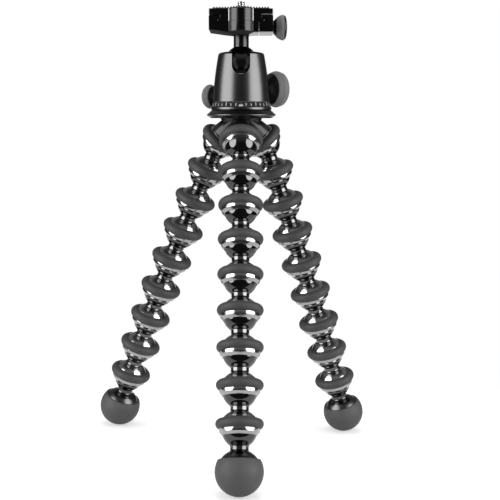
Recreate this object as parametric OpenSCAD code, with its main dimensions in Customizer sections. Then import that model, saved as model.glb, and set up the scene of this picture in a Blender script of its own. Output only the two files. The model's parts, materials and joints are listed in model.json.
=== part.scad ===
// Flexible leg tripod: three legs of linked ball joints, a hub, and a ball head with a quick-release plate.
// Millimetres, +Z up. The origin is on the floor, under the middle of the hub's three ball joints.

/* [Leg links] */
// Links between the hub and each foot
links = 8; // [6:1:8]
// Radius of the ball on a link
ball_r = 13.3; // [12:0.1:15]
// Running gap between a ball and its socket
ball_fit = 0.15; // [0.1:0.05:0.25]
// Wall of a socket
socket_wall = 2.05; // [1.6:0.05:3]
// Radius of the neck between a ball and the socket below it
neck_r = 7; // [5.5:0.1:7.5]
// Gap along the neck between a ball and the crown of the socket below it
crown_gap = 0.1; // [0.1:0.1:3]
// How far a socket's mouth reaches past the middle of its ball
mouth_drop = 3.9; // [3:0.1:5]
// Width of the flat lip around a socket's mouth
lip_w = 0.4; // [0.3:0.1:1]
// Height of the nearly upright band of a socket's rim
rim_h = 1.7; // [1:0.1:2.4]
// How far that band draws in
rim_taper = 0.3; // [0.1:0.05:0.6]
// How far a rubber ring stands out from its socket
ring_t = 2.5; // [1.5:0.1:3.5]
// Radius of a rubber ring's rounded section
ring_round = 4.1; // [3.5:0.1:5]
// Height of a ring's widest part above the middle of the ball
ring_rise = 4.5; // [3.8:0.1:5.5]

/* [Feet] */
// Radius of a rubber foot
foot_r = 18; // [16:0.1:21]
// Wall of the rubber boot over a foot's core
boot_wall = 1.5; // [1:0.1:2.5]
// Height of the boot's edge above the middle of the foot
boot_edge = 8.8; // [5:0.1:11]

/* [Stance] */
// Lean of the front leg from upright, from its hub joint to its foot
leg_splay = 23.2; // [12:0.1:30]
// Bend of the front leg at each joint, outwards
front_bend = -0.25; // [-2:0.05:2]
// Bend of the left leg at each joint, outwards
left_bend = -0.7; // [-2:0.05:2]
// Bend of the right leg at each joint, outwards
right_bend = -0.45; // [-2:0.05:2]
// Sideways turn of the front leg at the hub
front_turn = 4; // [-8:0.1:8]
// Sideways turn of the left leg at the hub
left_turn = -0.6; // [-8:0.1:8]
// Sideways turn of the right leg at the hub
right_turn = 3; // [-8:0.1:8]
// Lean of the hub and head towards the front, as the legs were set by hand
lean_front = 3; // [0:0.25:5]
// Lean of the hub and head towards the left
lean_left = 1.75; // [0:0.25:5]

/* [Hub] */
// Distance of the hub's ball joints from its axis
hub_reach = 22.4; // [22:0.1:27]
// Angle of the hub's sockets from straight down
hub_splay = 40; // [36:0.5:44]
// Radius of an arm where it meets its socket
arm_end_r = 12.4; // [10:0.1:13]
// Radius of an arm at its root
arm_root_r = 8; // [7:0.1:10]
// Length of an arm's taper
arm_taper = 15; // [12:0.5:18]
// Height of the arms' cut-off under the platform, above the joint plane
hub_top = 21.2; // [20:0.1:24]
// Radius of the hub's neck under the platform
hub_neck_r = 17.6; // [16:0.1:20]
// Height of the neck's taper
hub_neck_h = 3.2; // [2:0.1:5]
// Radius of the platform
platform_r = 28.8; // [27.5:0.1:34]
// Thickness of the platform
platform_h = 6.2; // [5:0.1:9]
// Radius of the threaded stud that carries the head (3/8 inch)
hub_stud_r = 4.76; // [4:0.01:5]
// Play in a screw thread
thread_fit = 0.04; // [0.02:0.01:0.08]
// Gap between pieces that are seated on each other
seat_fit = 0.02; // [0.01:0.01:0.05]

/* [Panning base] */
// Radius of the base
base_r = 25.2; // [24.6:0.1:27]
// Height of the base's plain band
band_h = 3.3; // [2.5:0.1:5]
// Height of the sloped scale above the band
scale_h = 3.6; // [3:0.1:5]
// Thickness of the nylon washer under the housing
washer_t = 0.4; // [0.3:0.1:1]
// Radius of the post that the housing turns on
post_r = 12; // [11:0.1:13]
// Running gap of the housing on its post
pan_fit = 0.05; // [0.03:0.01:0.1]
// Height of the post above the base
post_h = 7.7; // [7.5:0.1:8]
// Depth of the post's groove for the locking shoe
groove_d = 0.8; // [0.6:0.1:1.2]

/* [Housing] */
// Height of the housing
housing_h = 38.2; // [37:0.1:42]
// Radius of the housing at its foot
housing_r0 = 23.7; // [23:0.1:24.2]
// Radius of the housing under its collar
housing_r1 = 19.1; // [18.5:0.1:21]
// How far the housing's side swells between its ends
housing_bow = 0.65; // [0:0.05:1]
// Width of the slot that the stem drops into
notch_w = 14.8; // [14:0.1:16]
// Height of the slot's round end below the middle of the ball
notch_drop = 10.2; // [8.5:0.1:11]
// Height of the collar
collar_h = 2.1; // [1.8:0.1:3]

/* [Ball] */
// Radius of the head's ball
head_ball_r = 14; // [13:0.1:14.4]
// Running gap around the head's ball
head_fit = 0.2; // [0.15:0.05:0.3]
// Height of the ball's middle above the housing's foot
ball_rise = 31.9; // [31.5:0.1:32.5]
// Radius of the stem
stem_r = 6.3; // [5.5:0.1:6.5]
// Length of the stem from the ball's middle to the clamp
stem_h = 22.3; // [21.8:0.1:30]
// Height of the seat's edge below the middle of the ball
seat_drop = 9.2; // [8:0.1:10]

/* [Lock knobs] */
// Turn of both lock knobs behind the head's sides
lock_turn = 34; // [25:1:45]
// Height of the ball lock above the housing's foot
ball_lock_h = 10.8; // [10.7:0.05:11]
// Radius of the ball lock's screw
ball_screw_r = 4; // [3.5:0.1:4.5]
// Radius of the ball lock's shoe
ball_shoe_r = 3; // [2.8:0.1:3.1]
// Largest radius of the ball lock's knob
ball_knob_r = 15.3; // [13:0.1:16]
// Height of the pan lock above the housing's foot
pan_lock_h = 4.6; // [4.4:0.05:4.8]
// Radius of the pan lock's screw
pan_screw_r = 2.5; // [2:0.1:3]
// Radius of the pan lock's shoe
pan_shoe_r = 2; // [1.6:0.1:2]
// Largest radius of the pan lock's knob
pan_knob_r = 10.2; // [9:0.1:12]
// Gap between a lock knob and the housing
knob_gap = 0.9; // [0.6:0.1:2]
// Sliding gap around a lock's shoe or screw
lock_fit = 0.05; // [0.03:0.01:0.08]

/* [Clamp] */
// Width of the clamp and the plate, across the jaws
clamp_w = 52; // [50:0.5:60]
// Depth of the clamp and the plate between their flat faces
clamp_d = 38; // [34:0.5:42]
// Height of the clamp's deck
deck_h = 9.6; // [9:0.1:12]
// Radius of the round noses at front and back
nose_r = 10.8; // [9:0.1:12]
// How far the noses stand out from the flat faces
nose_out = 6; // [3:0.1:7]
// Height of the underside's step beside the noses
under_step = 1.1; // [0.5:0.1:2]
// Slope of the fixed side's underside
under_slope = 8; // [4:1:12]
// Slope of the underside towards the front and the back
nose_slope = 8; // [8:1:12]
// Start of that slope, from the stem's axis
nose_slope_at = 10; // [8:0.5:10]
// Width of the dovetail at its foot
dovetail_w = 38; // [36:0.1:40]
// Height of the dovetail's sloped flank
dovetail_h = 2.3; // [1.5:0.1:2.8]
// Height of the square land under the flank
dovetail_land = 0.8; // [0.5:0.1:1.2]
// Gap between the dovetail and the jaws
dovetail_fit = 0.08; // [0.05:0.01:0.15]
// Gap between the jaws' tops and the plate's wings
wing_gap = 1.1; // [0.6:0.1:2]
// Place of the split between the deck and the moving jaw
split_x = 14.4; // [13:0.1:15.5]
// Gap at the split with the plate clamped
split_gap = 0.6; // [0.4:0.1:1]
// Height of the clamp screw above the deck's foot
clamp_screw_h = 6.2; // [6:0.1:6.4]
// Radius of the clamp screw
clamp_screw_r = 2.5; // [2:0.1:2.6]
// Radius of the guide pins
guide_r = 1.75; // [1.4:0.05:2]
// Distance of the guide pins from the clamp screw
guide_y = 12; // [9:0.1:14]
// Largest radius of the clamp knob
clamp_knob_r = 10.35; // [9:0.05:12]
// Length of the clamp knob without its cap
clamp_knob_l = 9.4; // [8:0.1:12]

/* [Plate] */
// Height of the plate
plate_h = 9.9; // [9.5:0.1:13]
// Height of the plate's wings above its dovetail's foot
wing_h = 6; // [5.4:0.1:6.5]
// Gap under the plate
plate_fit = 0.1; // [0.05:0.05:0.2]
// Thickness of the rubber pad
pad_t = 2; // [1:0.1:2.5]
// Margin around the rubber pad
pad_margin = 3; // [2:0.5:5]
// Radius of the camera screw (1/4 inch)
camera_screw_r = 3.175; // [3:0.025:3.2]
// Length of the camera screw above the pad
camera_screw_h = 5.5; // [4.5:0.1:8]

/* [Hidden] */
$fn = 96;
EPS = 0.01;
FAR = 60;

LEGS = ["front", "left", "right"];
ARM_AT = [-90, 150, 30];
BENDS = [front_bend, left_bend, right_bend];
TURNS = [front_turn, left_turn, right_turn];

HEAD_NODES = [
    "hub_core", "hub_sockets", "hub_rings", "hub_platform", "hub_stud",
    "pan_base", "pan_washer",
    "housing", "ball_collar", "ball_seat", "ball_stem", "stem_screw",
    "ball_screw", "brake_shoe", "ball_knob", "ball_knob_grip",
    "pan_screw", "pan_shoe", "pan_knob", "pan_knob_grip",
    "clamp_body", "guide_pins", "clamp_jaw",
    "clamp_screw", "clamp_knob", "clamp_knob_grip", "clamp_knob_cap",
    "plate", "plate_pad", "camera_screw"
];
LEG_NODES = [
    for (leg = LEGS)
        each concat(
            [for (n = [1:links]) str(leg, "_link_", n)],
            [str(leg, "_foot_core"), str(leg, "_foot_boot")]
        )
];

// Leg sizes that follow from the ball
socket_in = ball_r + ball_fit;
socket_r = socket_in + socket_wall;
mouth_r = sqrt(socket_in * socket_in - mouth_drop * mouth_drop);
link_pitch = ball_r + crown_gap + socket_r;
core_r = foot_r - boot_wall;
foot_drop = ball_r + crown_gap + core_r;
ring_r = socket_r + ring_t;

// Gap between two flat ends
end_gap = 0.1;

// Heights in the head's own frame, which starts at the hub's joint plane
platform_z = hub_top;
base_z = platform_z + platform_h;
scale_z = base_z + band_h;
washer_z = scale_z + scale_h;
housing_z = washer_z + washer_t + end_gap;
housing_top = housing_z + housing_h;
ball_z = housing_z + ball_rise;
pan_lock_z = housing_z + pan_lock_h;
ball_lock_z = housing_z + ball_lock_h;
deck_z = ball_z + stem_h;
deck_top = deck_z + deck_h;
plate_z = deck_top + plate_fit;
wing_z = plate_z + wing_h;
jaw_top = wing_z - wing_gap;
plate_top = plate_z + plate_h;
pad_top = plate_top + pad_t;
clamp_screw_z = deck_z + clamp_screw_h;

// Clearances shared by several pieces
free_gap = 0.2;
blind_gap = 0.5;

// Hub and base details
hub_neck_taper = 2;
stud_depth = 7.5;
stud_rise = 4;
rim_share = 0.42;
rim_inset = 3.4;
scale_slope = 0.7;
washer_inset = 1.5;

// Sizes inside the head
post_top = washer_z + post_h;
groove_half = pan_shoe_r + free_gap;
groove_lead = 0.3;
pan_shoe_back = post_r + 5;
seat_floor_t = 2;
nose_room = 1.5;
pin_share = 0.95;
stem_screw_depth = 5.5;
tilt_back = 30;
tilt_gap = 0.4;
chamber_r = head_ball_r + head_fit;
seat_floor = ball_z - chamber_r - seat_floor_t;
lift_pin_r = 2.4;
shoe_nose = 7;
shoe_tip_r = 0.8;
shoe_back = 14.3;
spigot_r = 4;
spigot_h = 5;
stem_screw_r = 2.5;
stem_screw_head_r = 4.5;
stem_screw_head_h = 2.3;
half_w = clamp_w / 2;
half_d = clamp_d / 2;
nose_y = half_d + nose_out - nose_r;
neck_half = dovetail_w / 2 - dovetail_h;
screw_head_r = 6.5;
screw_head_h = 2.5;
screw_relief_r = 2.5;
edge = 0.8;

// Adds up a list of numbers
function sum(v) = v * [for (x = v) 1];

// Points along a round stretch of an outline
function arc(c, r, a0, a1, n = 6) =
    [for (i = [0:n]) c + r * [cos(a0 + (a1 - a0) * i / n), sin(a0 + (a1 - a0) * i / n)]];

// A point of the head's frame in the part's frame
function leaned(p) =
    let (y = p.y * cos(lean_front) - p.z * sin(lean_front))
    let (z = p.y * sin(lean_front) + p.z * cos(lean_front))
    [p.x * cos(lean_left) - z * sin(lean_left), y, p.x * sin(lean_left) + z * cos(lean_left)];

// Where a leg's first joint lies, from the middle of the hub
function hub_joint(leg) = leaned(hub_reach * [cos(ARM_AT[leg]), sin(ARM_AT[leg]), 0]);

// A leg's outline from joint to joint: how far it reaches out and down if its first link hangs straight
function piece_length(k) = k < links ? link_pitch : foot_drop;
function hang(bend) = [
    sum([for (k = [0:links]) piece_length(k) * sin(k * bend)]),
    sum([for (k = [0:links]) piece_length(k) * cos(k * bend)])
];

// The front leg's splay sets the height of the hub, and the other legs reach the floor from there
hub_z = foot_r + norm(hang(front_bend)) * cos(leg_splay) - hub_joint(0).z;
function drop(leg) = hub_z + hub_joint(leg).z - foot_r;
function first_lean(leg) =
    let (v = hang(BENDS[leg]))
    acos(drop(leg) / norm(v)) - atan2(v.x, v.y);
function lean(leg, k) = first_lean(leg) + k * BENDS[leg];
function heading(leg) = ARM_AT[leg] + TURNS[leg];
function along(leg, k) = [
    cos(heading(leg)) * sin(lean(leg, k)),
    sin(heading(leg)) * sin(lean(leg, k)),
    -cos(lean(leg, k))
];
function joint_at(leg, k) =
    k == 0 ? hub_joint(leg) + [0, 0, hub_z] : joint_at(leg, k - 1) + link_pitch * along(leg, k - 1);

// Radius of the housing's side at a height in the head's frame
function housing_side(z) =
    let (t = (z - housing_z) / housing_h)
    housing_r0 + (housing_r1 - housing_r0) * t + 4 * housing_bow * t * (1 - t);

// Places the head's frame: upright from the hub's joint plane, leaning as the hub does
module on_hub() {
    translate([0, 0, hub_z])
        rotate([lean_front, -lean_left, 0])
            children();
}

// Places a hub socket: its ball at the origin, its mouth downwards
module at_socket(arm) {
    rotate([0, 0, ARM_AT[arm]])
        translate([hub_reach, 0, 0])
            rotate([0, -hub_splay, 0])
                children();
}

// Places link k of a leg: its ball at the origin, the leg running downwards
module on_leg(leg, k) {
    translate(joint_at(leg, k))
        rotate([0, -lean(leg, k), heading(leg)])
            children();
}

// Places a lock: its axis along +Z, pointing out of the housing
module at_lock(turn, z) {
    translate([0, 0, z])
        rotate([0, 0, turn])
            rotate([0, 90, 0])
                children();
}

// The outside of a socket, with its ball at the origin
module socket_shell() {
    intersection() {
        sphere(r = socket_r);
        cylinder(r = socket_r + 1, h = socket_r + 1);
    }
    rotate_extrude()
        polygon([
            [0, 0], [socket_r, 0], [socket_r - rim_taper, -rim_h], [mouth_r + lip_w, -mouth_drop], [0, -mouth_drop]
        ]);
}

// The rubber ring around a socket
module rubber_ring() {
    difference() {
        translate([0, 0, ring_rise])
            rotate_extrude()
                translate([ring_r - ring_round, 0])
                    circle(r = ring_round);
        sphere(r = socket_r + seat_fit);
    }
}

// A socket
module socket() {
    difference() {
        socket_shell();
        sphere(r = socket_in);
    }
}

// The ball of a link and its short neck, which ends on the crown of the socket below
module ball_stud() {
    difference() {
        union() {
            sphere(r = ball_r);
            translate([0, 0, -link_pitch])
                cylinder(r = neck_r, h = link_pitch);
        }
        translate([0, 0, -link_pitch])
            sphere(r = socket_r + seat_fit);
    }
}

// One link: a ball stud, the socket bonded to it and the socket's rubber ring
module leg_link(leg, k) {
    on_leg(leg, k) {
        color([0.1, 0.1, 0.11])
            ball_stud();
        translate([0, 0, -link_pitch]) {
            color([0.2, 0.2, 0.22])
                socket();
            color([0.3, 0.3, 0.31])
                rubber_ring();
        }
    }
}

// A foot's hard core: the last ball, its neck and the ball under the boot
module foot_core(leg) {
    on_leg(leg, links)
        color([0.1, 0.1, 0.11])
            union() {
                sphere(r = ball_r);
                translate([0, 0, -foot_drop])
                    cylinder(r = neck_r, h = foot_drop);
                translate([0, 0, -foot_drop])
                    sphere(r = core_r);
            }
}

// A foot's rubber boot
module foot_boot(leg) {
    on_leg(leg, links)
        translate([0, 0, -foot_drop])
            color([0.33, 0.33, 0.34])
                difference() {
                    sphere(r = foot_r);
                    sphere(r = core_r + seat_fit);
                    translate([0, 0, boot_edge])
                        cylinder(r = foot_r, h = foot_r);
                }
}

// The hub's casting: a short neck and three arms
module hub_core() {
    on_hub()
        color([0.08, 0.08, 0.08])
            difference() {
                intersection() {
                    union() {
                        translate([0, 0, hub_top - hub_neck_h])
                            cylinder(r1 = hub_neck_r - hub_neck_taper, r2 = hub_neck_r, h = hub_neck_h);
                        for (arm = [0:2])
                            at_socket(arm)
                                hub_arm();
                    }
                    translate([0, 0, hub_top - FAR])
                        cylinder(r = FAR, h = FAR);
                }
                for (arm = [0:2])
                    at_socket(arm)
                        sphere(r = socket_r + seat_fit);
                translate([0, 0, hub_top - stud_depth - blind_gap])
                    cylinder(r = hub_stud_r + thread_fit, h = FAR);
            }
}

// One arm of the hub, tapered towards its root on the hub's axis
module hub_arm() {
    start = socket_r / 2;
    root = hub_reach / sin(hub_splay);
    translate([0, 0, start])
        cylinder(r1 = arm_end_r, r2 = arm_root_r, h = arm_taper);
    translate([0, 0, start + arm_taper - EPS])
        cylinder(r = arm_root_r, h = root - start - arm_taper + EPS);
}

// The three sockets on the arms
module hub_sockets() {
    on_hub()
        for (arm = [0:2])
            at_socket(arm)
                color([0.2, 0.2, 0.22])
                    socket();
}

// The rubber rings on the hub's sockets
module hub_rings() {
    on_hub()
        for (arm = [0:2])
            at_socket(arm)
                color([0.3, 0.3, 0.31])
                    rubber_ring();
}

// The round platform under the head
module hub_platform() {
    rim_z = platform_z + platform_h * rim_share;
    bore = hub_stud_r + thread_fit;
    on_hub()
        color([0.09, 0.09, 0.09])
            rotate_extrude()
                polygon(concat(
                    [[bore, platform_z], [platform_r - rim_inset, platform_z]],
                    arc([platform_r - edge, rim_z], edge, -50, 40),
                    [[base_r, base_z], [bore, base_z]]
                ));
}

// The stud that joins the hub, the platform and the head's base
module hub_stud() {
    on_hub()
        color([0.6, 0.6, 0.62])
            translate([0, 0, hub_top - stud_depth])
                cylinder(r = hub_stud_r, h = washer_z + stud_rise - hub_top + stud_depth);
}

// The head's fixed base, with the sloped scale and the post that the housing turns on
module pan_base() {
    bore = hub_stud_r + thread_fit;
    groove_r = post_r - groove_d;
    on_hub()
        color([0.09, 0.09, 0.09])
            rotate_extrude()
                polygon(concat(
                    [[bore, base_z]],
                    arc([base_r - edge, base_z + edge], edge, -90, 0),
                    arc([base_r - edge, scale_z - edge], edge, 0, 60),
                    [
                        [housing_r0 + scale_slope, scale_z], [housing_r0, washer_z],
                        [post_r, washer_z], [post_r, pan_lock_z - groove_half - groove_lead],
                        [groove_r, pan_lock_z - groove_half], [groove_r, pan_lock_z + groove_half],
                        [post_r, pan_lock_z + groove_half + end_gap], [post_r, post_top],
                        [0, post_top], [0, washer_z + stud_rise + blind_gap], [bore, washer_z + stud_rise + blind_gap]
                    ]
                ));
}

// The nylon washer that the housing turns on
module pan_washer() {
    on_hub()
        color("white")
            translate([0, 0, washer_z])
                difference() {
                    cylinder(r = housing_r0 - washer_inset, h = washer_t);
                    translate([0, 0, -1])
                        cylinder(r = post_r + blind_gap, h = washer_t + 2);
                }
}

// The slot at the front that the stem drops into
module stem_notch() {
    translate([0, 0, ball_z - notch_drop + notch_w / 2])
        rotate([90, 0, 0])
            cylinder(r = notch_w / 2, h = FAR);
    translate([-notch_w / 2, -FAR, ball_z - notch_drop + notch_w / 2])
        cube([notch_w, FAR, FAR]);
}

// The ball head's housing
module housing() {
    steps = 10;
    side = [
        for (i = [0:steps])
            let (z = housing_z + housing_h * i / steps)
            [housing_side(z), z]
    ];
    on_hub()
        color([0.25, 0.25, 0.26])
            difference() {
                rotate_extrude()
                    polygon(concat([[0, housing_z]], side, [[0, housing_top]]));
                translate([0, 0, seat_floor])
                    cylinder(r = chamber_r, h = FAR);
                translate([0, 0, housing_z - 1])
                    cylinder(r = post_r + pan_fit, h = post_top + end_gap - housing_z + 1);
                translate([0, 0, ball_lock_z])
                    cylinder(r = lift_pin_r + lock_fit, h = FAR);
                stem_notch();
                at_lock(lock_turn, ball_lock_z) {
                    translate([0, 0, -shoe_nose / 2 - nose_room])
                        cylinder(r = ball_shoe_r + lock_fit, h = FAR);
                    translate([0, 0, shoe_back])
                        cylinder(r = ball_screw_r + thread_fit, h = FAR);
                }
                at_lock(180 - lock_turn, pan_lock_z) {
                    cylinder(r = pan_shoe_r + lock_fit, h = FAR);
                    translate([0, 0, pan_shoe_back])
                        cylinder(r = pan_screw_r + thread_fit, h = FAR);
                }
            }
}

// The collar that keeps the ball in the housing
module ball_collar() {
    top = housing_top + collar_h;
    inner = sqrt(chamber_r * chamber_r - pow(top - ball_z, 2));
    room = stem_r / cos(tilt_back) + tilt_gap;
    on_hub()
        color([0.07, 0.07, 0.07])
            difference() {
                rotate_extrude()
                    polygon([
                        [inner - 1, housing_top], [housing_r1, housing_top],
                        [housing_r1 - 0.5, housing_top + collar_h * 0.5],
                        [housing_r1 - 1.9, housing_top + collar_h * 0.8],
                        [housing_r1 - 4, top], [inner - 1, top]
                    ]);
                translate([0, 0, ball_z])
                    sphere(r = chamber_r);
                translate([0, 0, ball_z])
                    cylinder(r1 = room, r2 = room + FAR * tan(tilt_back), h = FAR);
                stem_notch();
            }
}

// The seat under the ball, with the pin that the brake lifts
module ball_seat() {
    pin_end = ball_lock_z + ball_shoe_r * pin_share;
    on_hub()
        color([0.85, 0.84, 0.8])
            difference() {
                union() {
                    translate([0, 0, seat_floor])
                        cylinder(r = chamber_r - lock_fit, h = ball_z - seat_drop - seat_floor);
                    translate([0, 0, pin_end])
                        cylinder(r = lift_pin_r, h = seat_floor - pin_end + 1);
                }
                translate([0, 0, ball_z])
                    sphere(r = head_ball_r + head_fit / 2);
            }
}

// The ball, its stem and the spigot that the clamp turns on
module ball_stem() {
    on_hub()
        color([0.06, 0.06, 0.06])
            difference() {
                union() {
                    translate([0, 0, ball_z])
                        sphere(r = head_ball_r);
                    translate([0, 0, ball_z])
                        cylinder(r = stem_r, h = stem_h - end_gap);
                    translate([0, 0, ball_z])
                        cylinder(r = spigot_r, h = stem_h + spigot_h);
                }
                translate([0, 0, deck_z - stem_screw_depth - blind_gap])
                    cylinder(r = stem_screw_r + thread_fit, h = FAR);
            }
}

// The screw that holds the clamp on the stem
module stem_screw() {
    on_hub()
        color([0.5, 0.5, 0.52]) {
            translate([0, 0, deck_z - stem_screw_depth])
                cylinder(r = stem_screw_r, h = deck_h + stem_screw_depth - free_gap);
            translate([0, 0, deck_top - free_gap - stem_screw_head_h])
                cylinder(r = stem_screw_head_r, h = stem_screw_head_h);
        }
}

// A lock knob's black core: a cone that opens outwards, and the hub inside its grip
module lock_core(start, open, end, root_r, cone_r, hub_r, bore_r, bore_end) {
    difference() {
        rotate_extrude()
            polygon(concat(
                [[0, start], [root_r, start], [cone_r, open], [hub_r, open], [hub_r, end - edge]],
                arc([hub_r - 2, end - 2], 2, 30, 80),
                [[0, end + 0.6]]
            ));
        translate([0, 0, start - 1])
            cylinder(r = bore_r, h = bore_end - start + 1);
    }
}

// A lock knob's rubber grip, widest past its middle
module lock_grip(open, end, cone_r, knob_r, hub_r) {
    widest = open + (end - open) * 0.5;
    rotate_extrude()
        polygon(concat(
            [[hub_r + seat_fit, open], [cone_r + 0.1, open], [knob_r - 0.7, widest - 2]],
            arc([knob_r - 2.2, widest + 0.4], 2.2, -40, 20),
            arc([knob_r - 2.1, end - 1.2], 1.2, 10, 90),
            [[hub_r + seat_fit, end]]
        ));
}

// Sizes of the lock knobs
ball_root_r = 7;
ball_cone_r = ball_knob_r - 2.1;
ball_hub_r = ball_knob_r - 3.2;
ball_screw_grip = 4;
pan_root_r = 4.8;
pan_cone_r = pan_knob_r - 1.5;
pan_hub_r = pan_knob_r - 2.4;
pan_screw_grip = 3;

// Places along the lock axes, from the head's axis
ball_cone_l = 5.2;
ball_grip_l = 10.2;
pan_cone_l = 3.9;
pan_grip_l = 6.5;
ball_knob_start = housing_side(ball_lock_z - ball_root_r) + knob_gap;
ball_knob_open = ball_knob_start + ball_cone_l;
ball_knob_end = ball_knob_open + ball_grip_l;
pan_knob_start = housing_side(pan_lock_z - pan_lock_h) + knob_gap;
pan_knob_open = pan_knob_start + pan_cone_l;
pan_knob_end = pan_knob_open + pan_grip_l;

// The screw of the ball lock
module ball_screw() {
    on_hub()
        color([0.55, 0.55, 0.57])
            at_lock(lock_turn, ball_lock_z)
                translate([0, 0, shoe_back + end_gap])
                    cylinder(r = ball_screw_r, h = ball_knob_open + ball_screw_grip - shoe_back - end_gap);
}

// The brake shoe, with the cone that lifts the seat's pin
module brake_shoe() {
    on_hub()
        color([0.75, 0.6, 0.3])
            at_lock(lock_turn, ball_lock_z) {
                translate([0, 0, -shoe_nose / 2])
                    cylinder(r1 = shoe_tip_r, r2 = ball_shoe_r, h = shoe_nose + EPS);
                translate([0, 0, shoe_nose / 2])
                    cylinder(r = ball_shoe_r, h = shoe_back - shoe_nose / 2);
            }
}

// The ball lock's knob
module ball_knob() {
    on_hub()
        color([0.06, 0.06, 0.06])
            at_lock(lock_turn, ball_lock_z)
                lock_core(ball_knob_start, ball_knob_open, ball_knob_end, ball_root_r, ball_cone_r, ball_hub_r,
                    ball_screw_r + lock_fit, ball_knob_open + ball_screw_grip + blind_gap);
}

// The rubber grip of the ball lock's knob
module ball_knob_grip() {
    on_hub()
        color([0.5, 0.5, 0.5])
            at_lock(lock_turn, ball_lock_z)
                lock_grip(ball_knob_open, ball_knob_end, ball_cone_r, ball_knob_r, ball_hub_r);
}

// The screw of the pan lock
module pan_screw() {
    on_hub()
        color([0.55, 0.55, 0.57])
            at_lock(180 - lock_turn, pan_lock_z)
                translate([0, 0, pan_shoe_back + end_gap])
                    cylinder(r = pan_screw_r, h = pan_knob_open + pan_screw_grip - pan_shoe_back - end_gap);
}

// The shoe that presses on the post's groove
module pan_shoe() {
    tip = post_r - groove_d + end_gap;
    on_hub()
        color([0.75, 0.6, 0.3])
            at_lock(180 - lock_turn, pan_lock_z)
                translate([0, 0, tip])
                    cylinder(r = pan_shoe_r, h = pan_shoe_back - tip);
}

// The pan lock's knob
module pan_knob() {
    on_hub()
        color([0.06, 0.06, 0.06])
            at_lock(180 - lock_turn, pan_lock_z)
                lock_core(pan_knob_start, pan_knob_open, pan_knob_end, pan_root_r, pan_cone_r, pan_hub_r,
                    pan_screw_r + lock_fit, pan_knob_open + pan_screw_grip + blind_gap);
}

// The rubber grip of the pan lock's knob
module pan_knob_grip() {
    on_hub()
        color([0.5, 0.5, 0.5])
            at_lock(180 - lock_turn, pan_lock_z)
                lock_grip(pan_knob_open, pan_knob_end, pan_cone_r, pan_knob_r, pan_hub_r);
}

// The round noses of the clamp and the plate
module noses(z, h) {
    for (side = [-1, 1])
        translate([0, side * nose_y, z])
            cylinder(r = nose_r, h = h);
}

// A bar across the clamp's depth, from its outline in the XZ plane
module across(points) {
    rotate([90, 0, 0])
        linear_extrude(clamp_d, center = true)
            polygon(points);
}

// The underside, cut away from the clamp: a step beside the noses, which rises on the fixed side,
// and shallow slopes towards the front and the back
module underside() {
    flat = stem_r + free_gap;
    low = deck_z - 1;
    step_z = deck_z + under_step;
    fixed_z = step_z + (FAR - nose_r) * tan(under_slope);
    nose_z = deck_z + (FAR - nose_slope_at) * tan(nose_slope);
    rotate([90, 0, 0])
        linear_extrude(2 * FAR, center = true) {
            polygon([[flat, low], [flat, deck_z], [nose_r, step_z], [FAR, step_z], [FAR, low]]);
            polygon([[-flat, low], [-FAR, low], [-FAR, fixed_z], [-nose_r, step_z], [-flat, deck_z]]);
        }
    for (side = [0, 180])
        rotate([90, 0, 90 + side])
            linear_extrude(2 * FAR, center = true)
                polygon([[nose_slope_at, low], [FAR, low], [FAR, nose_z], [nose_slope_at, deck_z]]);
}

// The lip of a jaw, on the right side: its flank follows the dovetail
function jaw_lip() =
    let (foot = dovetail_w / 2 + dovetail_fit)
    let (throat = neck_half + dovetail_fit)
    [
        [half_w, deck_top - 1], [half_w, jaw_top - edge], [half_w - edge, jaw_top],
        [throat, jaw_top], [throat, plate_z + dovetail_land + dovetail_h],
        [foot, plate_z + dovetail_land], [foot, deck_top - 1]
    ];

// The clamp's body: the deck and the fixed jaw
module clamp_body() {
    on_hub()
        color([0.08, 0.08, 0.08])
            difference() {
                union() {
                    across([
                        [-half_w, deck_z], [split_x, deck_z], [split_x, deck_top], [-half_w, deck_top]
                    ]);
                    noses(deck_z, deck_h);
                    mirror([1, 0, 0])
                        across(jaw_lip());
                }
                underside();
                translate([0, 0, deck_z - 1])
                    cylinder(r = spigot_r + lock_fit, h = spigot_h + 1 + free_gap);
                translate([0, 0, deck_z])
                    cylinder(r = stem_screw_r + free_gap, h = FAR);
                translate([0, 0, deck_top - free_gap - end_gap - stem_screw_head_h])
                    cylinder(r = stem_screw_head_r + free_gap, h = FAR);
                translate([spigot_r + 1.5, 0, clamp_screw_z])
                    rotate([0, 90, 0])
                        cylinder(r = clamp_screw_r + thread_fit, h = FAR);
                guide_bores(seat_fit);
            }
}

// Bores for the two guide pins
module guide_bores(fit) {
    for (side = [-1, 1])
        translate([spigot_r - 0.5, side * guide_y, clamp_screw_z - 1])
            rotate([0, 90, 0])
                cylinder(r = guide_r + fit, h = half_w - spigot_r - 1);
}

// The two pins that guide the moving jaw
module guide_pins() {
    on_hub()
        for (side = [-1, 1])
            color([0.6, 0.6, 0.62])
                translate([spigot_r, side * guide_y, clamp_screw_z - 1])
                    rotate([0, 90, 0])
                        cylinder(r = guide_r, h = half_w - spigot_r - 2);
}

// The moving jaw
module clamp_jaw() {
    start = split_x + split_gap;
    on_hub()
        color([0.08, 0.08, 0.08])
            difference() {
                union() {
                    across([
                        [start, deck_z], [half_w, deck_z], [half_w, deck_top], [start, deck_top]
                    ]);
                    across(jaw_lip());
                }
                underside();
                translate([0, 0, clamp_screw_z])
                    rotate([0, 90, 0])
                        cylinder(r = clamp_screw_r + lock_fit, h = FAR);
                guide_bores(lock_fit);
            }
}

// Places the clamp knob: its axis along +Z from the jaw's end face
module at_clamp_knob() {
    translate([half_w, 0, clamp_screw_z])
        rotate([0, 90, 0])
            children();
}

// Sizes along the clamp knob
knob_neck = 0.4;
knob_open = 3;
knob_hub_r = clamp_knob_r - 2.6;

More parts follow.
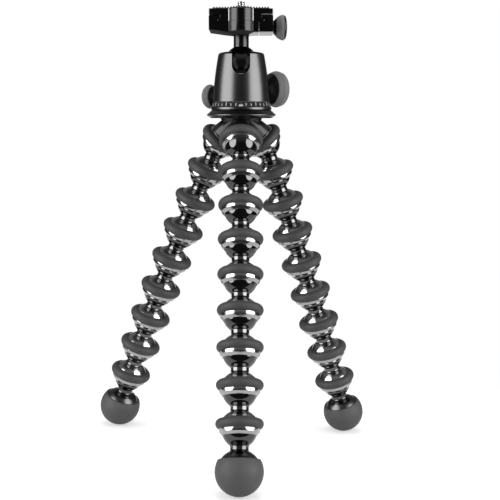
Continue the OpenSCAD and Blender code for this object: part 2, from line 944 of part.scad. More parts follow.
// The clamp screw, from the knob into the deck
module clamp_screw() {
    on_hub()
        color([0.6, 0.6, 0.62])
            at_clamp_knob()
                translate([0, 0, spigot_r + 2 - half_w])
                    cylinder(r = clamp_screw_r, h = half_w - spigot_r - 2 + clamp_knob_l - 2);
}

// The clamp knob's black core
module clamp_knob() {
    on_hub()
        color([0.06, 0.06, 0.06])
            at_clamp_knob()
                rotate_extrude()
                    polygon([
                        [clamp_screw_r + seat_fit, knob_neck], [5.3, knob_neck], [knob_hub_r, knob_open],
                        [knob_hub_r, clamp_knob_l], [clamp_screw_r + seat_fit, clamp_knob_l]
                    ]);
}

// The clamp knob's flared rubber grip
module clamp_knob_grip() {
    steps = 6;
    inner = knob_hub_r + seat_fit;
    root = inner + 0.2;
    flare = clamp_knob_l - edge - EPS - knob_open;
    on_hub()
        color([0.45, 0.45, 0.45])
            at_clamp_knob()
                rotate_extrude()
                    polygon(concat(
                        [[inner, knob_open]],
                        [
                            for (i = [0:steps])
                                [root + (clamp_knob_r - root) * sin(90 * i / steps), knob_open + flare * i / steps]
                        ],
                        arc([clamp_knob_r - edge, knob_open + flare + EPS], edge, 15, 90),
                        [[inner, clamp_knob_l]]
                    ));
}

// The clamp knob's domed end cap
module clamp_knob_cap() {
    cap_r = clamp_knob_r - 0.7;
    on_hub()
        color([0.05, 0.05, 0.05])
            at_clamp_knob()
                rotate_extrude()
                    polygon([
                        [0, clamp_knob_l + seat_fit], [cap_r, clamp_knob_l + seat_fit], [cap_r, clamp_knob_l + 0.5],
                        [cap_r * 0.9, clamp_knob_l + 1.2], [cap_r * 0.65, clamp_knob_l + 2],
                        [cap_r * 0.35, clamp_knob_l + 2.4], [0, clamp_knob_l + 2.5]
                    ]);
}

// The quick-release plate
module plate() {
    foot = dovetail_w / 2;
    on_hub()
        color([0.08, 0.08, 0.08])
            difference() {
                union() {
                    across([
                        [-foot, plate_z], [foot, plate_z], [foot, plate_z + dovetail_land],
                        [neck_half, plate_z + dovetail_land + dovetail_h], [neck_half, wing_z],
                        [half_w, wing_z], [half_w, plate_top], [-half_w, plate_top], [-half_w, wing_z],
                        [-neck_half, wing_z], [-neck_half, plate_z + dovetail_land + dovetail_h],
                        [-foot, plate_z + dovetail_land]
                    ]);
                    noses(plate_z, plate_h);
                }
                translate([0, 0, plate_z - 1])
                    cylinder(r = screw_head_r + free_gap, h = screw_head_h + 1 + blind_gap);
                translate([0, 0, plate_z])
                    cylinder(r = camera_screw_r + free_gap, h = FAR);
            }
}

// The rubber pad on the plate
module plate_pad() {
    on_hub()
        color([0.2, 0.2, 0.2])
            translate([0, 0, plate_top])
                difference() {
                    union() {
                        translate([pad_margin - half_w, pad_margin - half_d, 0])
                            cube([clamp_w - 2 * pad_margin, clamp_d - 2 * pad_margin, pad_t]);
                        for (side = [-1, 1])
                            translate([0, side * nose_y, 0])
                                cylinder(r = nose_r - pad_margin / 2, h = pad_t);
                    }
                    translate([0, 0, -1])
                        cylinder(r = camera_screw_r + 2 * free_gap, h = pad_t + 2);
                }
}

// The camera screw, held in the plate by its head
module camera_screw() {
    tip = 0.5;
    on_hub()
        color([0.7, 0.7, 0.72]) {
            translate([0, 0, plate_z + free_gap])
                cylinder(r = screw_head_r, h = screw_head_h);
            translate([0, 0, plate_z + free_gap])
                cylinder(r = screw_relief_r, h = pad_top - plate_z);
            translate([0, 0, pad_top])
                cylinder(r = camera_screw_r, h = camera_screw_h - tip);
            translate([0, 0, pad_top + camera_screw_h - tip])
                cylinder(r1 = camera_screw_r, r2 = camera_screw_r - tip, h = tip);
        }
}

hub_core();
hub_sockets();
hub_rings();
hub_platform();
hub_stud();
pan_base();
pan_washer();
housing();
ball_collar();
ball_seat();
ball_stem();
stem_screw();
ball_screw();
brake_shoe();
ball_knob();
ball_knob_grip();
pan_screw();
pan_shoe();
pan_knob();
pan_knob_grip();
clamp_body();
guide_pins();
clamp_jaw();
clamp_screw();
clamp_knob();
clamp_knob_grip();
clamp_knob_cap();
plate();
plate_pad();
camera_screw();
for (leg = [0:2]) {
    for (n = [1:links])
        leg_link(leg, n - 1);
    foot_core(leg);
    foot_boot(leg);
}
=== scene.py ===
# %% [markdown]
# # A flexible tripod, dressed for its portrait
# The tripod stands on legs of linked ball joints and carries a small ball head with a quick-release plate.
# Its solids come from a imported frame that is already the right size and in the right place.
# This lesson gives each of them its finish, and remakes the ones that need finer edges than the solids have.

# %% Load the frame
import json
from math import acos, asin, atan2, cos, degrees, hypot, pi, radians, sin, sqrt

import bmesh
import bpy
from mathutils import Matrix, Vector


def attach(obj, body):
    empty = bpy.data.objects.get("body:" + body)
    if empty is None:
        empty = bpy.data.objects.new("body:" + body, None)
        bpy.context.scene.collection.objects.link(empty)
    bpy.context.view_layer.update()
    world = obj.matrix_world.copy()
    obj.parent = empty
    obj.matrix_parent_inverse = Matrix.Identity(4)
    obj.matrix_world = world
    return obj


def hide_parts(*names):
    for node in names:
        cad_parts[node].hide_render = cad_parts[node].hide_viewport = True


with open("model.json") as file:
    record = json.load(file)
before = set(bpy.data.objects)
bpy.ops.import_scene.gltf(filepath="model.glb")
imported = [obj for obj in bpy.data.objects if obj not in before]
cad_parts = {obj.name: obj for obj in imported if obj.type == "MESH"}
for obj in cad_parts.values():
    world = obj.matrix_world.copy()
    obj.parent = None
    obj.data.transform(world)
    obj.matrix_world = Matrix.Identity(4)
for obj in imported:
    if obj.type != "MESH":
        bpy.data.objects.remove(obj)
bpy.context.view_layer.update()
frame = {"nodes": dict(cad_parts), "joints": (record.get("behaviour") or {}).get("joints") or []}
scene = bpy.context.scene
MM = 0.001
print("frame loaded with", len(frame["nodes"]), "pieces")

# %% [markdown]
# The camera comes first, because every later choice is judged through it.
# It stands four fifths of a metre in front, just below the height of the hub, with a long lens
# that keeps the legs from splaying. The tripod was set by hand and leans a degree or two,
# so the camera is rolled by as much to show the head upright.

# %% Camera
CAMERA_SPOT = Vector((10.02, -806.1, 236.3)) * MM
CAMERA_DOWN = radians(4.70)
CAMERA_ROLL = radians(1.78)
CAMERA_LENS = 68.85
CAMERA_NEAR = 0.05
SENSOR_WIDTH = 36

camera = bpy.data.objects.new("portrait_camera", bpy.data.cameras.new("portrait_camera"))
scene.collection.objects.link(camera)
camera.data.lens = CAMERA_LENS
camera.data.sensor_fit = "HORIZONTAL"
camera.data.sensor_width = SENSOR_WIDTH
camera.data.clip_start = CAMERA_NEAR
camera.matrix_world = (
    Matrix.Translation(CAMERA_SPOT)
    @ Matrix.Rotation(pi / 2 - CAMERA_DOWN, 4, "X")
    @ Matrix.Rotation(CAMERA_ROLL, 4, "Z")
)
scene.camera = camera
print("camera looks from", tuple(round(c, 3) for c in camera.location))

# %% [markdown]
# A finish is a small program of nodes. Writing it as sums and products is easier to read than wiring boxes,
# so one class wraps a socket and turns each operator into a Math node.
# A second class holds a material, adds any other node by its type, and ends in the shader.

# %% Sockets as numbers
class Value:
    """An output socket of a material that can be used in sums."""

    def __init__(self, finish, socket):
        self.finish = finish
        self.socket = socket

    def math(self, operation, first, second):
        return self.finish.node("ShaderNodeMath", {"operation": operation}, {0: first, 1: second})

    def __add__(self, other):
        return self.math("ADD", self, other)

    def __radd__(self, other):
        return self.math("ADD", other, self)

    def __sub__(self, other):
        return self.math("SUBTRACT", self, other)

    def __rsub__(self, other):
        return self.math("SUBTRACT", other, self)

    def __mul__(self, other):
        return self.math("MULTIPLY", self, other)

    def __rmul__(self, other):
        return self.math("MULTIPLY", other, self)

    def clamped(self):
        return self.finish.node("ShaderNodeClamp", {}, {"Value": self})


class Finish:
    """A material that is built node by node."""

    def __init__(self, name):
        self.material = bpy.data.materials.new(name)
        self.material.use_nodes = True
        self.tree = self.material.node_tree
        self.tree.nodes.clear()
        self.output = self.tree.nodes.new("ShaderNodeOutputMaterial")

    def node(self, kind, settings, sockets, out=0):
        made = self.tree.nodes.new(kind)
        for name, value in settings.items():
            setattr(made, name, value)
        for name, value in sockets.items():
            if isinstance(value, Value):
                self.tree.links.new(value.socket, made.inputs[name])
            else:
                made.inputs[name].default_value = value
        return Value(self, made.outputs[out])

    def here(self):
        return self.node("ShaderNodeTexCoord", {}, {}, "Object")

    def noise(self, size, detail=3, where=None):
        sockets = {"Vector": where or self.here(), "Scale": 1 / size, "Detail": detail, "Roughness": 0.55}
        return self.node("ShaderNodeTexNoise", {}, sockets)

    def tint(self, factor, first, second):
        sockets = {0: factor, 6: (*first, 1), 7: (*second, 1)}
        return self.node("ShaderNodeMix", {"data_type": "RGBA"}, sockets, 2)

    def rise(self, value, ends):
        """Nought below the first end and one above the second."""
        sockets = {"Value": value, "From Min": ends[0], "From Max": ends[1]}
        return self.node("ShaderNodeMapRange", {}, sockets)

    def rays(self, kind):
        """One for the rays of a kind, nought for all others."""
        return self.node("ShaderNodeLightPath", {}, {}, f"Is {kind} Ray")

    def bump(self, height, depth, strength):
        sockets = {"Height": height, "Distance": depth, "Strength": strength}
        return self.node("ShaderNodeBump", {}, sockets)

    def surface(self, **sockets):
        named = {name.replace("_", " "): value for name, value in sockets.items()}
        shader = self.node("ShaderNodeBsdfPrincipled", {}, named)
        self.tree.links.new(shader.socket, self.output.inputs["Surface"])
        return self.material


print("material tools ready")

# %% [markdown]
# The rings and boots are moulded rubber: matt, nearly black, with a fine grain from the mould.
# Rubber picks up dust and palm marks in patches, so its colour and its roughness drift a little
# over a few millimetres. The knobs have a lighter, coarser rubber than the legs.

# %% Rubber
def moulded_rubber(name, dark, light, grain, depth):
    finish = Finish(name)
    patches = finish.noise(7 * MM, 4)
    specks = finish.noise(grain, 2)
    worn = (patches * 0.6 + specks * 0.4).clamped()
    color = finish.tint(worn, dark, light)
    rough = 0.58 + patches * 0.22
    skin = finish.bump(specks, depth, 0.8)
    return finish.surface(Base_Color=color, Roughness=rough, Normal=skin)


LEG_GRAIN = 0.35 * MM
LEG_GRAIN_DEPTH = 0.03 * MM
leg_rubber = moulded_rubber(
    "leg_rubber", (0.026, 0.026, 0.0265), (0.046, 0.046, 0.0465), LEG_GRAIN, LEG_GRAIN_DEPTH
)
boot_rubber = moulded_rubber(
    "boot_rubber", (0.05, 0.05, 0.0505), (0.085, 0.085, 0.086), LEG_GRAIN, LEG_GRAIN_DEPTH
)
knob_rubber = moulded_rubber("knob_rubber", (0.18, 0.18, 0.181), (0.28, 0.28, 0.282), 0.5 * MM, 0.08 * MM)
pad_rubber = moulded_rubber("pad_rubber", (0.02, 0.02, 0.02), (0.045, 0.045, 0.045), 0.4 * MM, 0.05 * MM)
print("rubbers mixed")

# %% [markdown]
# The balls are polished black, and the sockets are plated in a dark gunmetal that mirrors the lamps
# almost white. Both are treated as dark metals, because their reflections are neutral and strong,
# and handling leaves faint smears that show in the roughness.

# %% Polished metals
def polished(name, dark, light, gloss, smear):
    finish = Finish(name)
    cloud = finish.noise(5 * MM, 3)
    hairs = finish.noise(0.4 * MM, 2)
    color = finish.tint(cloud, dark, light)
    rough = gloss + cloud * smear + hairs * (smear * 0.3)
    return finish.surface(Base_Color=color, Metallic=1.0, Roughness=rough)


glossy_black = polished("glossy_black", (0.065, 0.065, 0.066), (0.08, 0.08, 0.081), 0.05, 0.05)
gunmetal = polished("gunmetal", (0.3, 0.3, 0.304), (0.35, 0.35, 0.354), 0.1, 0.08)
neck_metal = polished("neck_metal", (0.1, 0.1, 0.101), (0.13, 0.13, 0.131), 0.08, 0.06)
bare_edge = polished("bare_edge", (0.17, 0.17, 0.17), (0.22, 0.22, 0.22), 0.36, 0.1)
bright_steel = polished("bright_steel", (0.58, 0.58, 0.58), (0.7, 0.7, 0.7), 0.16, 0.12)
turned_brass = polished("turned_brass", (0.6, 0.45, 0.2), (0.7, 0.55, 0.28), 0.2, 0.1)
print("metals polished")

# %% [markdown]
# The head is aluminium with a satin, anodised skin. The blast before anodising leaves a very fine grain,
# and the lathe leaves faint rings, which stretch the grain around the axis.
# The housing, the platform and the feet are a dark grey, the stem and the clamp are black.

# %% Anodised aluminium
def anodised(name, dark, light, satin, rings):
    finish = Finish(name)
    around = finish.node("ShaderNodeMapping", {}, {"Vector": finish.here(), "Scale": (1, 1, rings)})
    lines = finish.noise(3 * MM, 4, around)
    grain = finish.noise(0.25 * MM, 2)
    color = finish.tint((lines * 0.5 + grain * 0.5).clamped(), dark, light)
    rough = satin + lines * 0.05 + grain * 0.05
    skin = finish.bump(lines * 0.4 + grain * 0.6, 0.004 * MM, 0.6)
    return finish.surface(Base_Color=color, Metallic=1.0, Roughness=rough, Normal=skin)


black_anodised = anodised("black_anodised", (0.027, 0.027, 0.0275), (0.038, 0.038, 0.0385), 0.17, 6)
grey_anodised = anodised("grey_anodised", (0.064, 0.064, 0.0645), (0.08, 0.08, 0.0805), 0.24, 12)
print("anodised skins ready")

# %% [markdown]
# The hub is a casting under baked enamel, a little lumpy and soft in its shine. Small moulded parts are
# black plastic, the washer and the seat are white nylon, and the scale is printed in white with a red mark.
# Behind the scale the metal is blasted to a matt black. The same matt black is painted shade under the clamp,
# in its middle and on its left side.

# %% Enamel, plastics and ink
COAT_SHINE = 0.3


def coated(name, dark, light, gloss, lump, depth):
    finish = Finish(name)
    waves = finish.noise(lump, 3)
    specks = finish.noise(0.3 * MM, 2)
    color = finish.tint(waves, dark, light)
    rough = gloss + specks * 0.12
    skin = finish.bump(waves, depth, 0.7)
    return finish.surface(Base_Color=color, Roughness=rough, Normal=skin, Specular_IOR_Level=COAT_SHINE)


black_enamel = coated("black_enamel", (0.008, 0.008, 0.008), (0.016, 0.016, 0.016), 0.2, 0.9 * MM, 0.03 * MM)
black_plastic = coated("black_plastic", (0.009, 0.009, 0.009), (0.016, 0.016, 0.016), 0.16, 2 * MM, 0.01 * MM)
# Matt black: the real finish behind the scale, and painted shade under the clamp's middle and left side.
matt_black_and_painted_shade = coated("matt_black_and_painted_shade", (0.01, 0.01, 0.01), (0.016, 0.016, 0.016), 0.85, 0.3 * MM, 0.01 * MM)
white_nylon = coated("white_nylon", (0.62, 0.61, 0.57), (0.75, 0.74, 0.7), 0.4, 1.5 * MM, 0.02 * MM)
white_ink = coated("white_ink", (0.7, 0.7, 0.69), (0.82, 0.82, 0.81), 0.45, 0.6 * MM, 0.01 * MM)
red_ink = coated("red_ink", (0.45, 0.03, 0.03), (0.6, 0.05, 0.04), 0.45, 0.6 * MM, 0.01 * MM)
print("coats ready")

# %% [markdown]
# Most pieces were turned on a lathe, so one helper turns an outline of radius and height around an axis.
# Real edges are never knife sharp: a second helper rounds each corner of an outline, and the light then
# draws a thin line along it.

# %% Lathe
LATHE_STEPS = 96
SHARP = radians(38)
REAL_CORNER = radians(20)
MOST_CUT = 0.45
ON_AXIS = 1e-6


def bow(centre, radius, start, end, steps=12):
    """Points on an arc in the outline's plane, angles in degrees."""
    turns = [radians(start + (end - start) * i / steps) for i in range(steps + 1)]
    return [(centre[0] + radius * cos(a), centre[1] + radius * sin(a)) for a in turns]


def softened(outline, radius, steps=4, closed=False):
    """The outline with each real corner rounded."""
    count = len(outline)
    out = []
    for i, point in enumerate(outline):
        if not closed and i in (0, count - 1):
            out.append(point)
            continue
        here = Vector(point)
        back = Vector(outline[i - 1]) - here
        ahead = Vector(outline[(i + 1) % count]) - here
        turn = pi - back.angle(ahead, pi)
        if turn < REAL_CORNER:
            out.append(point)
            continue
        cut = radius * sin(turn / 2) / cos(turn / 2)
        cut = min(cut, back.length * MOST_CUT, ahead.length * MOST_CUT)
        first = here + back.normalized() * cut
        last = here + ahead.normalized() * cut
        for k in range(steps + 1):
            t = k / steps
            bend = first * (1 - t) ** 2 + here * (2 * t * (1 - t)) + last * t**2
            out.append((bend.x, bend.y))
    return out


def turned_mesh(name, outline, closed=False, steps=LATHE_STEPS):
    """A mesh from an outline in millimetres, turned around Z."""
    verts = []
    rows = []
    for radius, height in outline:
        if radius < ON_AXIS:
            rows.append([len(verts)] * steps)
            verts.append((0, 0, height * MM))
            continue
        rows.append(list(range(len(verts), len(verts) + steps)))
        for i in range(steps):
            a = 2 * pi * i / steps
            verts.append((radius * MM * cos(a), radius * MM * sin(a), height * MM))
    faces = []
    pairs = list(zip(rows, rows[1:]))
    if closed:
        pairs.append((rows[-1], rows[0]))
    for low, high in pairs:
        for i in range(steps):
            j = (i + 1) % steps
            ring = []
            for v in (low[i], low[j], high[j], high[i]):
                if v not in ring:
                    ring.append(v)
            if len(ring) > 2:
                faces.append(ring)
    mesh = bpy.data.meshes.new(name)
    mesh.from_pydata(verts, [], faces)
    tidy = bmesh.new()
    tidy.from_mesh(mesh)
    bmesh.ops.recalc_face_normals(tidy, faces=tidy.faces)
    tidy.to_mesh(mesh)
    tidy.free()
    return mesh


def piece(name, mesh, body, place, finishes, stands_for=(), sharp=SHARP):
    """A finished piece, in place and riding on its body."""
    thing = bpy.data.objects.new(name, mesh)
    scene.collection.objects.link(thing)
    if not mesh.materials:
        for finish in finishes:
            mesh.materials.append(finish)
        mesh.shade_smooth()
        mesh.set_sharp_from_angle(angle=sharp)
    thing.matrix_world = place
    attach(thing, body)
    if stands_for:
        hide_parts(*stands_for)
    return thing


def zone(mesh, rule, index):
    """Gives the faces that a rule picks by radius and height another of the piece's finishes."""
    for face in mesh.polygons:
        spot = face.center / MM
        if rule(hypot(spot.x, spot.y), spot.z):
            face.material_index = index


print("lathe ready")

# %% [markdown]
# A link is three pieces bonded together: a ball stud, the domed socket below it that grips the next ball,
# and a rubber ring around the socket. The stud's short neck runs into the ball and the dome in hollow curves,
# which catch two small lights. Each piece is drawn once, hanging straight down from its ball.

# %% Stud and socket outlines
BALL_R = 13.3
SOCKET_IN = 13.45
SOCKET_R = 15.5
PITCH = 28.9
NECK_R = 7.0
NECK_HOLLOW = 1.6
RIM_H = 1.7
RIM_TAPER = 0.3
MOUTH_DROP = 3.9
LIP_W = 0.4
RIM_SOFT = 0.35
SEAT = 0.02
MOUTH_R = sqrt(SOCKET_IN**2 - MOUTH_DROP**2)


def hollow_angle(ball_r):
    """How far below a ball's middle its surface turns into the neck's hollow curve, in degrees."""
    return degrees(acos((NECK_R + NECK_HOLLOW) / (ball_r + NECK_HOLLOW)))


def neck_curve(ball_r):
    """The hollow curve under a ball, from the ball's surface to the neck."""
    turn = hollow_angle(ball_r)
    middle = (NECK_R + NECK_HOLLOW, -(ball_r + NECK_HOLLOW) * sin(radians(turn)))
    return bow(middle, NECK_HOLLOW, 180 - turn, 180, 6)


def lowered(outline, drop):
    return [(r, z - drop) for r, z in outline]


def stud_outline(drop, below_r):
    """A ball and its neck, down to the crown of a ball or socket that lies lower."""
    top = bow((0, 0), BALL_R, 90, -hollow_angle(BALL_R), 40) + neck_curve(BALL_R)[1:]
    foot = [(r, -z) for r, z in reversed(neck_curve(below_r))]
    return top + lowered(foot, drop)


def rim_and_inside():
    """From a socket's widest place round its mouth and up inside it."""
    rim = [(SOCKET_R, 0), (SOCKET_R - RIM_TAPER, -RIM_H)]
    rim += [(MOUTH_R + LIP_W, -MOUTH_DROP), (MOUTH_R, -MOUTH_DROP)]
    low = -degrees(asin(MOUTH_DROP / SOCKET_IN))
    inside = bow((0, 0), SOCKET_IN, low + 2, 90, 24)
    return softened(rim + inside[:1], RIM_SOFT) + inside[1:]


socket_outline = bow((0, 0), SOCKET_R, 90, 2, 40) + rim_and_inside()
crown = bow((0, 0), SOCKET_R + SEAT, hollow_angle(SOCKET_R), 90, 12)
link_stud_outline = stud_outline(PITCH, SOCKET_R + SEAT)[:-1] + lowered(crown, PITCH)
print("a stud's outline has", len(link_stud_outline), "points, a socket's", len(socket_outline))

# %% [markdown]
# The rubber ring is a round bead, stretched over the dome. Its inner side follows the dome,
# so it is a closed outline turned once around.

# %% Ring outline
RING_R = 18.0
RING_ROUND = 4.1
RING_RISE = 4.5
RING_SOFT = 0.3


def ring_outline():
    """The round section, less what the dome takes away: two arcs that meet above and below."""
    middle = Vector((RING_R - RING_ROUND, RING_RISE))
    dome = SOCKET_R + SEAT
    tilt = degrees(atan2(middle.y, middle.x))
    far = middle.length
    on_dome = degrees(acos((dome**2 + far**2 - RING_ROUND**2) / (2 * dome * far)))
    on_ring = degrees(acos((far**2 + RING_ROUND**2 - dome**2) / (2 * far * RING_ROUND)))
    outside = bow(middle, RING_ROUND, tilt + on_ring - 180, tilt + 180 - on_ring, 32)
    inside = bow((0, 0), dome, tilt + on_dome, tilt - on_dome, 10)
    return softened(outside + inside[1:-1], RING_SOFT, closed=True)


print("a ring's outline has", len(ring_outline()), "points")

# %% [markdown]
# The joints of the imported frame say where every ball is. A link points from its own ball to the next one,
# and the foot carries the leg's slight bend one step further.
# The balls are black, and their necks are a shade lighter.

# %% Set the links along the legs
LEG_NAMES = ("front", "left", "right")
LINKS = 8
NECK_TOP = -11.6
joint_spot = {j["name"]: Vector(j["pos_m"]) for j in frame["joints"] if "pos_m" in j}
joint_axis = {j["name"]: Vector(j["axis"]) for j in frame["joints"]}


def hanging(ball, along):
    """A place with its origin at a ball and its -Z axis along the leg."""
    up = -along.normalized()
    aside = Vector((0, 0, 1)).cross(up).normalized()
    ahead = up.cross(aside)
    turn = Matrix((aside, ahead, up)).transposed().to_4x4()
    return Matrix.Translation(ball) @ turn


def leg_places(leg):
    balls = [joint_spot[f"{leg}_joint_{k}"] for k in range(1, LINKS + 2)]
    ways = [(b - a).normalized() for a, b in zip(balls, balls[1:])]
    ways.append((ways[-1] * 2 - ways[-2]).normalized())
    return [hanging(b, w) for b, w in zip(balls, ways)]


stud = turned_mesh("link_stud", link_stud_outline)
zone(stud, lambda r, z: z < NECK_TOP, 1)
socket = turned_mesh("link_socket", lowered(socket_outline, PITCH))
ring = turned_mesh("link_ring", lowered(ring_outline(), PITCH), closed=True)
for leg in LEG_NAMES:
    for number, place in enumerate(leg_places(leg)[:LINKS], 1):
        node = f"{leg}_link_{number}"
        piece(node + "_stud", stud, node, place, [glossy_black, neck_metal], [node])
        piece(node + "_socket", socket, node, place, [gunmetal])
        piece(node + "_ring", ring, node, place, [leg_rubber])
print("links set:", len(LEG_NAMES) * LINKS)

# %% [markdown]
# A foot is the last ball and neck on a large hard ball, which a rubber boot covers from below.
# The large ball is satin, so the lamps are soft spots on it, and the boot ends in a soft round lip around it.

# %% Feet
FOOT_R = 18.0
CORE_R = 16.5
FOOT_GAP = 0.1
FOOT_DROP = BALL_R + FOOT_GAP + CORE_R
BOOT_EDGE = 8.8
BOOT_LIP = 0.6
CORE_TOP = -18.0

core_ball = bow((0, 0), CORE_R, hollow_angle(CORE_R), -90, 40)
core_outline = stud_outline(FOOT_DROP, CORE_R) + lowered(core_ball[1:], FOOT_DROP)
boot_inner = CORE_R + SEAT
boot_outer_at = degrees(asin(BOOT_EDGE / FOOT_R))
boot_inner_at = degrees(asin(BOOT_EDGE / boot_inner))
boot_outline = softened(
    bow((0, 0), FOOT_R, -90, boot_outer_at, 40) + bow((0, 0), boot_inner, boot_inner_at, -90, 32), BOOT_LIP
)
core = turned_mesh("foot_core", core_outline)
zone(core, lambda r, z: z < CORE_TOP, 1)
boot = turned_mesh("foot_boot", lowered(boot_outline, FOOT_DROP))
core_finishes = [glossy_black, grey_anodised]
for leg in LEG_NAMES:
    body = leg + "_foot"
    place = leg_places(leg)[LINKS]
    piece(body + "_core_turned", core, body, place, core_finishes, [body + "_core"])
    piece(body + "_boot_moulded", boot, body, place, [boot_rubber], [body + "_boot"])
print("feet made:", len(LEG_NAMES))

# %% [markdown]
# The head has a frame of its own, because the hub was left leaning by the legs.
# Its axes are read from the joints: the pan joint points up the head, the tilt joint to its right.

# %% The head's own frame
WASHER_Z = 34.3
head_up = joint_axis["pan"].normalized()
head_right = joint_axis["ball_tilt"].normalized()
head_back = head_up.cross(head_right)
hub_spot = joint_spot["pan"] - head_up * (WASHER_Z * MM)
HEAD = Matrix.Translation(hub_spot) @ Matrix((head_right, head_back, head_up)).transposed().to_4x4()
print("hub joint plane at", tuple(round(c, 4) for c in hub_spot))

# %% [markdown]
# Each hub arm ends in the same domed socket and rubber ring as a link.
# The three domes share one mesh, and so do the rings, because the frame holds them as two groups.

# %% Hub sockets
HUB_REACH = 22.4
HUB_SPLAY = 40
ARM_AT = (-90, 150, 30)


def at_arm(angle):
    return (
        Matrix.Rotation(radians(angle), 4, "Z")
        @ Matrix.Translation((HUB_REACH * MM, 0, 0))
        @ Matrix.Rotation(radians(-HUB_SPLAY), 4, "Y")
    )


def joined(name, meshes):
    both = bmesh.new()
    for mesh in meshes:
        both.from_mesh(mesh)
    out = bpy.data.meshes.new(name)
    both.to_mesh(out)
    both.free()
    return out


def on_arms(name, outline, closed):
    copies = []
    for angle in ARM_AT:
        one = turned_mesh(name, outline, closed)
        one.transform(at_arm(angle))
        copies.append(one)
    return joined(name, copies)


hub_domes = on_arms("hub_domes", socket_outline, False)
hub_beads = on_arms("hub_beads", ring_outline(), True)
piece("hub_domes", hub_domes, "hub", HEAD, [gunmetal], ["hub_sockets"])
piece("hub_beads", hub_beads, "hub", HEAD, [leg_rubber], ["hub_rings"])
print("hub sockets dressed")

# %% [markdown]
# Milled pieces such as the hub, the housing and the clamp keep the shape of their solids.
# A copy of the solid's mesh is cleaned of the triangles inside its flat faces, and its sharp edges are broken
# by a small bevel. Upright corners of the clamp are cut after anodising, so their chamfers show bare
# aluminium. The faces under its middle and its left side are painted shade: a dull matt black.

# %% Milled copies
FACET = radians(20)
FLAT = radians(0.6)
WELD = 2e-6
KEEN = radians(24)
CORNER = radians(40)
UPRIGHT = 0.999
DOWNWARD = -0.9
PAINTED_SHADE_LEFT_OF = 8 * MM
# Downward clamp faces left of this take the matt black as painted shade.
CLAMP_EDGE = 0.22 * MM
BARE_CHAMFER = 0.42 * MM


def milled(node, edge, chamfer=0.0):
    """A copy of a node in the head's frame, with bevelled edges.

    With a chamfer, its corners take the second finish, and the downward faces in its middle and on its left
    take the third, a painted shade.
    """
    mesh = frame["nodes"][node].data.copy()
    mesh.name = node
    mesh.materials.clear()
    mesh.transform(HEAD.inverted())
    if "custom_normal" in mesh.attributes:
        mesh.attributes.remove(mesh.attributes["custom_normal"])
    shape = bmesh.new()
    shape.from_mesh(mesh)
    bmesh.ops.remove_doubles(shape, verts=shape.verts, dist=WELD)
    bmesh.ops.dissolve_limit(shape, angle_limit=FLAT, verts=shape.verts, edges=shape.edges)
    for face in shape.faces:
        # Painted shade: downward faces in the clamp's middle and on its left take the matt black.
        under = face.normal.z < DOWNWARD and face.calc_center_median().x < PAINTED_SHADE_LEFT_OF
        face.material_index = 2 if chamfer and under else 0
    if chamfer:
        upright = []
        for e in shape.edges:
            way = (e.verts[0].co - e.verts[1].co).normalized()
            if len(e.link_faces) == 2 and abs(way.z) > UPRIGHT and e.calc_face_angle(0) > CORNER:
                upright.append(e)
        cut = bmesh.ops.bevel(
            shape, geom=upright, offset=chamfer, segments=1, profile=0.5,
            affect="EDGES", clamp_overlap=True,
        )
        for face in cut["faces"]:
            face.material_index = 1
    keen = [e for e in shape.edges if len(e.link_faces) == 2 and e.calc_face_angle(0) > KEEN]
    bmesh.ops.bevel(
        shape, geom=keen, offset=edge, segments=2, profile=0.5,
        affect="EDGES", clamp_overlap=True, material=-1,
    )
    bmesh.ops.recalc_face_normals(shape, faces=shape.faces)
    shape.to_mesh(mesh)
    shape.free()
    return mesh


for node, body, edge, finish, slot in (
    ("hub_core", "hub", 0.4, black_enamel, "black_enamel"),
    ("housing", "housing", 0.3, grey_anodised, "grey_anodised"),
    ("ball_collar", "housing", 0.2, black_anodised, "black_anodised"),
):
    piece(node + "_milled", milled(node, edge * MM), body, HEAD, [finish], [node], FACET)
clamp_finishes = [black_anodised, bare_edge, matt_black_and_painted_shade]
for node, body in (("clamp_body", "clamp"), ("clamp_jaw", "jaw"), ("plate", "plate")):
    mesh = milled(node, CLAMP_EDGE, BARE_CHAMFER)
    piece(node + "_milled", mesh, body, HEAD, clamp_finishes, [node], FACET)
print("milled pieces copied")

# %% [markdown]
# The platform and the panning base are plain turnings: a rim like a saucer's, a rounded band,
# and above it a slope for the scale.

# %% Platform and base
HUB_TOP = 21.2
BASE_Z = 27.4
SCALE_Z = 30.7
PLATFORM_R = 28.8
BASE_R = 25.2
HOUSING_R = 23.7
POST_R = 12.0
STUD_BORE = 4.8
POST_TOP = 42.0
PLATFORM_FLARE = 3.4
PLATFORM_ROUND = 0.8
PLATFORM_SOFT = 0.5
RIM_SHARE = 0.42
BAND_ROUND = 1.2
SCALE_SLOPE = 0.7
BAND_TOP = SCALE_Z - 0.2

rim_z = HUB_TOP + (BASE_Z - HUB_TOP) * RIM_SHARE
platform_outline = (
    [(STUD_BORE, HUB_TOP), (PLATFORM_R - PLATFORM_FLARE, HUB_TOP)]
    + bow((PLATFORM_R - PLATFORM_ROUND, rim_z), PLATFORM_ROUND, -50, 40, 8)
    + [(BASE_R, BASE_Z), (STUD_BORE, BASE_Z)]
)
platform = turned_mesh("platform", softened(platform_outline, PLATFORM_SOFT, closed=True), True)
piece("platform", platform, "hub", HEAD, [grey_anodised], ["hub_platform"])
base_outline = (
    [(STUD_BORE, BASE_Z)]
    + bow((BASE_R - BAND_ROUND, BASE_Z + BAND_ROUND), BAND_ROUND, -90, 0, 8)
    + bow((BASE_R - BAND_ROUND, SCALE_Z - BAND_ROUND), BAND_ROUND, 0, 70, 8)
    + [(HOUSING_R + SCALE_SLOPE, SCALE_Z), (HOUSING_R, WASHER_Z)]
    + [(POST_R, WASHER_Z), (POST_R, POST_TOP), (STUD_BORE, POST_TOP)]
)
panning_base = turned_mesh("panning_base", base_outline, True)
zone(panning_base, lambda r, z: z < BAND_TOP, 1)
